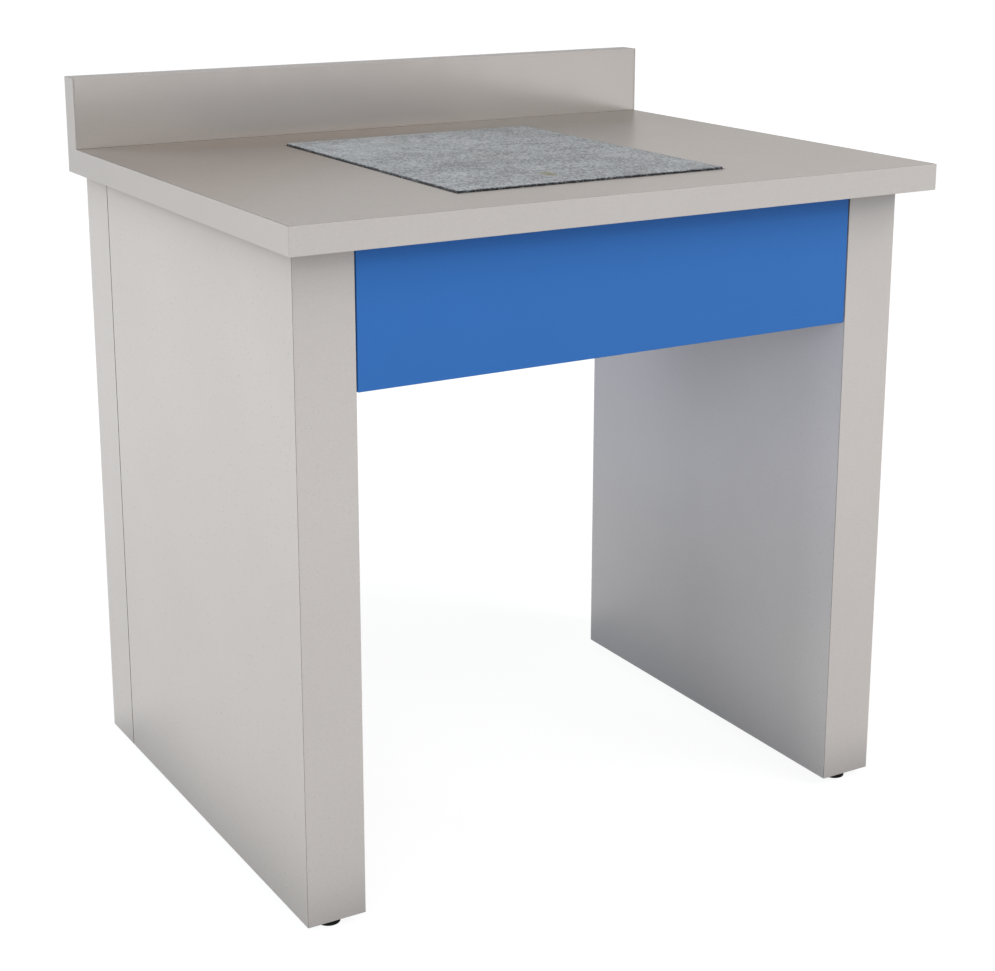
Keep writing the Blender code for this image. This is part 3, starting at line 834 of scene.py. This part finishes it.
# %% [markdown]
# ## The levelling feet
#
# Each foot is a black moulded pad, 30 mm wide, that clips onto the flange of an M10 stem. The
# pad is turned from a profile: a ring to stand on, a shallow hollow inside it, a moulded
# groove round the side, a rounded shoulder, and the socket of the stem. There are eight: four
# under the legs, and four under the inner stand.

# %% Foot pads
PAD_STEPS = 64
PAD_RING = 4 * MM
PAD_HOLLOW = 0.5 * MM
PAD_SHOULDER = 2.2 * MM
PAD_ROUND = 0.7 * MM
PAD_GROOVE = 0.5 * MM
GROOVE_LEVEL = 4.2 * MM
LIP_ROUND = 0.4 * MM
SOCKET_WALL = 3.5 * MM
RUNNING_GAP = 0.3 * MM
STEM_RADIUS = 5 * MM

feet = [name.removesuffix("_pad") for name in nodes if name.endswith("_pad")]
for foot in feet:
    axis_place, low, top = axis_of(foot + "_pad")
    radius = radius_of(foot + "_pad")
    flange, bore = radius_of(foot + "_stem") + RUNNING_GAP, STEM_RADIUS + RUNNING_GAP
    groove, hollow = low + GROOVE_LEVEL, low + PAD_HOLLOW
    socket_top, socket_floor = top - SOCKET_WALL, low + SOCKET_WALL
    profile = [
        (0, hollow), (radius - PAD_RING - PAD_HOLLOW, hollow), (radius - PAD_RING, low),
        *arc((radius - PAD_ROUND, low + PAD_ROUND), PAD_ROUND, -90, 0),
        (radius, groove - PAD_GROOVE), (radius - PAD_GROOVE, groove), (radius, groove + PAD_GROOVE),
        *arc((radius - PAD_SHOULDER, top - PAD_SHOULDER), PAD_SHOULDER, 0, 90, 6),
        *arc((bore + LIP_ROUND, top - LIP_ROUND), LIP_ROUND, 90, 180, 3),
        (bore, socket_top), (flange, socket_top), (flange, socket_floor), (0, socket_floor),
    ]
    finish_piece(
        foot + "_glide_pad", turn_profile(profile, axis_place, PAD_STEPS),
        moulded_plastic, foot + "_pad", [foot + "_pad"],
    )
print(len(feet), "pads of", len(profile), "profile points each")

# %% [markdown]
# ## Threaded stems
#
# An M10 thread climbs 1.5 mm with each turn. The saw-tooth outline of one side of the rod is
# spun once round the axis while it climbs by one tooth, so its end meets the next tooth of its
# start, and merging the doubles closes the seam into one long helix. A few teeth more than
# needed are made, because two planes then cut the rod to length, and the cut ends are closed.
# The tip tapers so that it finds the insert. A tooth is four points, each with its depth below
# the rod's surface and its share of the pitch.

# %% Thread helper
THREAD_PITCH = 1.5 * MM
THREAD_DEPTH = 0.81 * MM
THREAD_STEPS = 28
TOOTH = ((THREAD_DEPTH, 0.0), (THREAD_DEPTH, 0.25), (0.0, 0.5625), (0.0, 0.6875))
TEETH_BELOW, TEETH_ABOVE = 2, 1
FLANGE_ROUND = 0.3 * MM
FLANGE_HEIGHT = 4.4 * MM
TIP_TAPER = 1.2 * MM


def threaded_rod(axis_place, low, high):
    """A closed rod with a right-hand thread from low to high."""
    x, y = axis_place
    shape = bmesh.new()
    teeth = TEETH_BELOW + math.ceil((high - low) / THREAD_PITCH) + TEETH_ABOVE
    outline = []
    for tooth in range(teeth):
        start = low + (tooth - TEETH_BELOW) * THREAD_PITCH
        outline += [
            (STEM_RADIUS - depth, start + share * THREAD_PITCH) for depth, share in TOOTH
        ]
    chain = [shape.verts.new((x + radius, y, level)) for radius, level in outline]
    edges = [shape.edges.new(pair) for pair in zip(chain, chain[1:])]
    bmesh.ops.spin(
        shape, geom=chain + edges, cent=(x, y, 0), axis=(0, 0, 1), angle=2 * math.pi,
        dvec=(0, 0, THREAD_PITCH / THREAD_STEPS), steps=THREAD_STEPS, use_merge=False,
        use_duplicate=False,
    )
    bmesh.ops.remove_doubles(shape, verts=shape.verts, dist=NEARLY_SAME_PLACE)
    for level, upward in ((low, -1), (high, 1)):
        cut_off(shape, (x, y, level), (0, 0, upward))
    for vert in shape.verts:
        reach = STEM_RADIUS - TIP_TAPER + high - vert.co.z
        away = vert.co - Vector((x, y, vert.co.z))
        if away.length > reach:
            vert.co -= away * (1 - reach / away.length)
    return shape


print("a thread depth of", THREAD_DEPTH / MM, "mm in", THREAD_STEPS, "steps round")

# %% Threaded stems
for foot in feet:
    axis_place, low, high = axis_of(foot + "_stem")
    flange_top = low + FLANGE_HEIGHT
    flange = disc_profile(radius_of(foot + "_stem"), low, flange_top, FLANGE_ROUND)
    stem = turn_profile(flange, axis_place, THREAD_STEPS)
    rod = threaded_rod(axis_place, flange_top - FLANGE_ROUND, high)
    rod_mesh = bpy.data.meshes.new("rod")
    rod.to_mesh(rod_mesh)
    rod.free()
    stem.from_mesh(rod_mesh)
    bpy.data.meshes.remove(rod_mesh)
    finish_piece(
        foot + "_threaded_stem", stem, zinc_plate, foot + "_stem", [foot + "_stem"],
    )
print(len(feet), "stems with", round((high - flange_top) / THREAD_PITCH), "turns of thread")

# %% [markdown]
# ## Rubber buffers
#
# The slab lies on four cylindrical buffers. Each is rubber with a slight waist, vulcanised
# between two zinc-plated steel discs, and each disc is its own piece.

# %% Buffers
DISC_HEIGHT = 2 * MM
DISC_ROUND = 0.4 * MM
RUBBER_WAIST = 1.5 * MM
RUBBER_INSET = 0.6 * MM
WAIST_STEPS = 6

buffers = [name for name in nodes if name.endswith("_buffer")]
for buffer in buffers:
    axis_place, low, high = axis_of(buffer)
    radius = radius_of(buffer)
    rubber_low, rubber_high = low + DISC_HEIGHT, high - DISC_HEIGHT
    middle, half = (rubber_low + rubber_high) / 2, (rubber_high - rubber_low) / 2
    edge = radius - RUBBER_INSET
    waist = [
        (edge - RUBBER_WAIST * (1 - (step / WAIST_STEPS) ** 2), middle + half * step / WAIST_STEPS)
        for step in range(-WAIST_STEPS, WAIST_STEPS + 1)
    ]
    profile = [(0, rubber_low), *waist, (0, rubber_high)]
    finish_piece(
        buffer + "_rubber", turn_profile(profile, axis_place, PAD_STEPS),
        buffer_rubber, "table", [buffer],
    )
    for side, start in (("lower", low), ("upper", rubber_high)):
        profile = disc_profile(radius, start, start + DISC_HEIGHT, DISC_ROUND)
        finish_piece(
            f"{buffer}_{side}_disc", turn_profile(profile, axis_place, PAD_STEPS),
            zinc_plate, "table",
        )
print(len(buffers), "buffers with two discs each")

# %% [markdown]
# ## Screws of the apron's angles
#
# Each steel angle behind the apron holds with two screws in the apron and two in the leg. A
# screw shows as a low round head with a hexagon socket. The head is turned upright at the
# origin, its socket's points are moved out onto a hexagon, and a matrix lays it on the angle.
# Its dome is three points, each with its shares of the head's radius and height.

# %% Screw helper
HEAD_RADIUS = 4.5 * MM
HEAD_HEIGHT = 2.4 * MM
HEAD_EDGE = 0.5 * MM
HEAD_DOME = ((0.92, 0.55), (0.75, 0.85), (0.55, 1.0))
SOCKET_FLAT = 1.5 * MM
SOCKET_DEPTH = 1.6 * MM
SCREW_STEPS = 48
HEXAGON_SIDE = math.radians(60)


def screw_head(matrix):
    """A button head whose seat lies on the matrix's plane and whose top looks along its Z."""
    socket_floor = HEAD_HEIGHT - SOCKET_DEPTH
    profile = [
        (0, 0), (HEAD_RADIUS, 0), (HEAD_RADIUS, HEAD_EDGE),
        *((HEAD_RADIUS * out, HEAD_HEIGHT * up) for out, up in HEAD_DOME),
        (SOCKET_FLAT, HEAD_HEIGHT), (SOCKET_FLAT, socket_floor), (0, socket_floor),
    ]
    shape = turn_profile(profile, (0, 0), SCREW_STEPS)
    for vert in shape.verts:
        if abs(vert.co.xy.length - SOCKET_FLAT) < NEARLY_SAME_PLACE:
            turn = math.atan2(vert.co.y, vert.co.x) % HEXAGON_SIDE - HEXAGON_SIDE / 2
            vert.co.xy /= math.cos(turn)
    bmesh.ops.transform(shape, verts=shape.verts, matrix=matrix)
    return shape


print("a screw head is", 2 * HEAD_RADIUS / MM, "mm wide")

# %% Screws
SCREW_SPREAD = 18 * MM
ANGLE_METAL = 2 * MM

screws = 0
for side, out in (("left", -1), ("right", 1)):
    low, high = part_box(side + "_apron_bracket")
    middle = (low + high) / 2
    wall = high.x if out > 0 else low.x
    to_rear = Matrix.Rotation(math.radians(-90), 4, "X")
    to_middle = Matrix.Rotation(math.radians(-90 * out), 4, "Y")
    for step in (-1, 1):
        level = middle.z + step * SCREW_SPREAD
        spots = {
            "apron": Matrix.Translation((middle.x, low.y + ANGLE_METAL, level)) @ to_rear,
            "leg": Matrix.Translation((wall - out * ANGLE_METAL, middle.y, level)) @ to_middle,
        }
        for held, matrix in spots.items():
            name = f"{side}_{held}_screw_{'lower' if step < 0 else 'upper'}"
            finish_piece(name, screw_head(matrix), zinc_plate, "table")
            screws += 1
print(screws, "screws")

# %% [markdown]
# ## The floor and the background
#
# The photograph is a cut-out on white, so the floor shows white to the camera and keeps only a soft
# shadow. Light Path makes that: rays from the camera, mirrors and glass see the floor and the world
# near white, while the light that reaches the table comes from a plain grey floor, a dim sky and the
# lamps. To the camera the floor has a painted shadow: it is a little greyer near the table. To a
# mirror it has a painted shade that is much darker close to a leg's footprint, and that shade reaches
# further between the legs than outside them, as a floor in the table's own shade does. So the glossy
# legs mirror it and darken towards their feet.

# %% Floor
FLOOR_SIZE = 60.0
FLOOR_TONE = 0.15
SHADE_BETWEEN_LEGS = 0.22
SHADE_OUTSIDE = 0.12

# painted shades on the floor: to mirrors near the legs and under the table, to the camera near the
# table
# A shade is a span and the tones at its two ends.
LEG_SHADE = (0.0, 1.0, 0.10, 0.96)
UNDER_SHADE = (0.35, 0.7, 0.8, 1.0)
CAMERA_SHADE = (0.5, 2.2, 0.90, 1.0)
WHITE = (1, 1, 1, 1)


def seen_directly(tree):
    """1 for rays that come straight from the camera, a mirror or glass."""
    path = add_node(tree, "LightPath").outputs
    either = calculate(tree, "MAXIMUM", path["Is Camera Ray"], path["Is Glossy Ray"])
    return calculate(tree, "MAXIMUM", either, path["Is Transmission Ray"])


shape = bmesh.new()
bmesh.ops.create_grid(shape, x_segments=1, y_segments=1, size=FLOOR_SIZE / 2)
floor_mesh = bpy.data.meshes.new("floor")
shape.to_mesh(floor_mesh)
shape.free()
floor = bpy.data.objects.new("floor", floor_mesh)
bpy.context.scene.collection.objects.link(floor)
print("floor is", FLOOR_SIZE, "m wide")

# %% Floor finish
floor_finish, tree, shader, place = new_finish("pale_floor", Roughness=0.9, Specular_IOR_Level=0.1)
shader.inputs["Base Color"].default_value = (FLOOR_TONE, FLOOR_TONE, FLOOR_TONE, 1.0)
distance = add_node(tree, "VectorMath", {0: place}, operation="LENGTH").outputs["Value"]
leg_inside, leg_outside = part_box("right_inner_panel")[0].x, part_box("right_outer_panel")[1].x
from_middle, from_centre = (
    calculate(tree, "ABSOLUTE", along(tree, place, way)) for way in (ACROSS, ALONG)
)
from_leg = calculate(tree, "SUBTRACT", leg_inside, from_middle)
from_leg = calculate(tree, "DIVIDE", from_leg, SHADE_BETWEEN_LEGS)
for reading, limit in ((from_middle, leg_outside), (from_centre, -leg_front)):
    past = calculate(tree, "DIVIDE", calculate(tree, "SUBTRACT", reading, limit), SHADE_OUTSIDE)
    from_leg = calculate(tree, "MAXIMUM", from_leg, past)
to_mirrors = calculate(
    tree, "MULTIPLY", ramp(tree, from_leg, *LEG_SHADE), ramp(tree, distance, *UNDER_SHADE),
)
to_camera = ramp(tree, distance, *CAMERA_SHADE)
by_camera = add_node(tree, "LightPath").outputs["Is Camera Ray"]
shown = add_node(tree, "Mix", {0: by_camera, 2: to_mirrors, 3: to_camera}).outputs[0]
glow = add_node(tree, "Emission", {"Color": WHITE, "Strength": shown})
lit = shader.outputs[0]
both = add_node(tree, "AddShader", {0: lit, 1: glow.outputs[0]}).outputs[0]
chosen = add_node(tree, "MixShader", {0: seen_directly(tree), 1: lit, 2: both})
tree.links.new(chosen.outputs[0], tree.nodes["Material Output"].inputs["Surface"])
floor.data.materials.append(floor_finish)
print("the floor's finish has", len(tree.nodes), "nodes")

# %% World
SKY_COLOUR = (1.0, 0.90, 0.80)
SKY_STRENGTH = 0.012

world = bpy.data.worlds.new("studio")
bpy.context.scene.world = world
world.use_nodes = True
tree = world.node_tree
sky = tree.nodes["Background"]
sky.inputs["Color"].default_value = (*SKY_COLOUR, 1.0)
sky.inputs["Strength"].default_value = SKY_STRENGTH
white = add_node(tree, "Background", {"Color": WHITE, "Strength": 1.0})
chosen = add_node(
    tree, "MixShader", {0: seen_directly(tree), 1: sky.outputs[0], 2: white.outputs[0]},
)
tree.links.new(chosen.outputs[0], tree.nodes["World Output"].inputs["Surface"])
print("sky strength", SKY_STRENGTH)

# %% [markdown]
# ## A card for the upstand to mirror
#
# In the photograph the glossy upstand carries a long soft shade, such as a mirror shows of
# something darker in front of it. A painted shade would stay where it is when the view turns,
# so a large dark card hangs front right instead, out of view. Only mirrors see it: it is hidden
# from the camera, from glass and from diffuse light, and it casts no shadow.

# %% Reflection card
CARD_MIDDLE = (2.0, -2.9, 1.75)
CARD_SIZE = (4.6, 1.6)
CARD_TONE = 0.08

card_mesh = bpy.data.meshes.new("card")
shape = bmesh.new()
bmesh.ops.create_grid(shape, x_segments=1, y_segments=1, size=0.5)
bmesh.ops.scale(shape, verts=shape.verts, vec=(*CARD_SIZE, 1.0))
upright = Matrix.Translation(CARD_MIDDLE) @ Matrix.Rotation(math.radians(90), 4, "X")
bmesh.ops.transform(shape, verts=shape.verts, matrix=upright)
shape.to_mesh(card_mesh)
shape.free()
card = bpy.data.objects.new("card", card_mesh)
bpy.context.scene.collection.objects.link(card)
card.visible_camera = False
card.visible_diffuse = False
card.visible_shadow = False
card.visible_transmission = False
card_finish, tree, shader, place = new_finish("dark_card", Roughness=1.0, Specular_IOR_Level=0.0)
shader.inputs["Base Color"].default_value = (CARD_TONE, CARD_TONE, CARD_TONE, 1.0)
card.data.materials.append(card_finish)
print("card of", CARD_SIZE, "m at", CARD_MIDDLE)

# %% [markdown]
# ## The lamps
#
# Five large square lamps give plain soft light. In the photograph the front and the left side
# of the table are lit about evenly, and a little more than the worktop. So four of the lamps
# stand low, on the left, at the front left and right, and behind on the left, and only one
# hangs higher. Their powers and colours are the mix that fits the photograph's tones best.
# Mirrors don't see them, because a glossy board would show each one as a bright square.

# %% Lamps
AIM = (0.0, 0.0, 0.55)

# A lamp is a place, a size in metres, a power in watts and a colour.
LAMPS = {
    "left_lamp": ((-3.2, -0.4, 1.2), 2.0, 31.0, (1.0, 1.0, 0.93)),
    "front_left_lamp": ((-2.2, -3.2, 1.6), 2.0, 83.0, (0.88, 0.93, 1.0)),
    "front_right_lamp": ((2.6, -3.0, 1.5), 2.0, 40.0, (0.74, 0.85, 1.0)),
    "front_right_high_lamp": ((2.0, -2.4, 2.9), 2.0, 88.0, (1.0, 0.95, 0.89)),
    "back_left_lamp": ((-2.5, 2.2, 1.6), 2.0, 87.0, (0.82, 0.89, 1.0)),
}

for name, (spot, size, power, colour) in LAMPS.items():
    lamp_data = bpy.data.lights.new(name, "AREA")
    lamp_data.shape = "SQUARE"
    lamp_data.size = size
    lamp_data.energy = power
    lamp_data.color = colour
    lamp = bpy.data.objects.new(name, lamp_data)
    lamp.location = spot
    lamp.rotation_euler = (Vector(AIM) - Vector(spot)).to_track_quat("-Z", "Y").to_euler()
    lamp.visible_glossy = False
    bpy.context.scene.collection.objects.link(lamp)

bpy.context.scene.view_settings.view_transform = "Standard"
print("lit by", list(LAMPS))
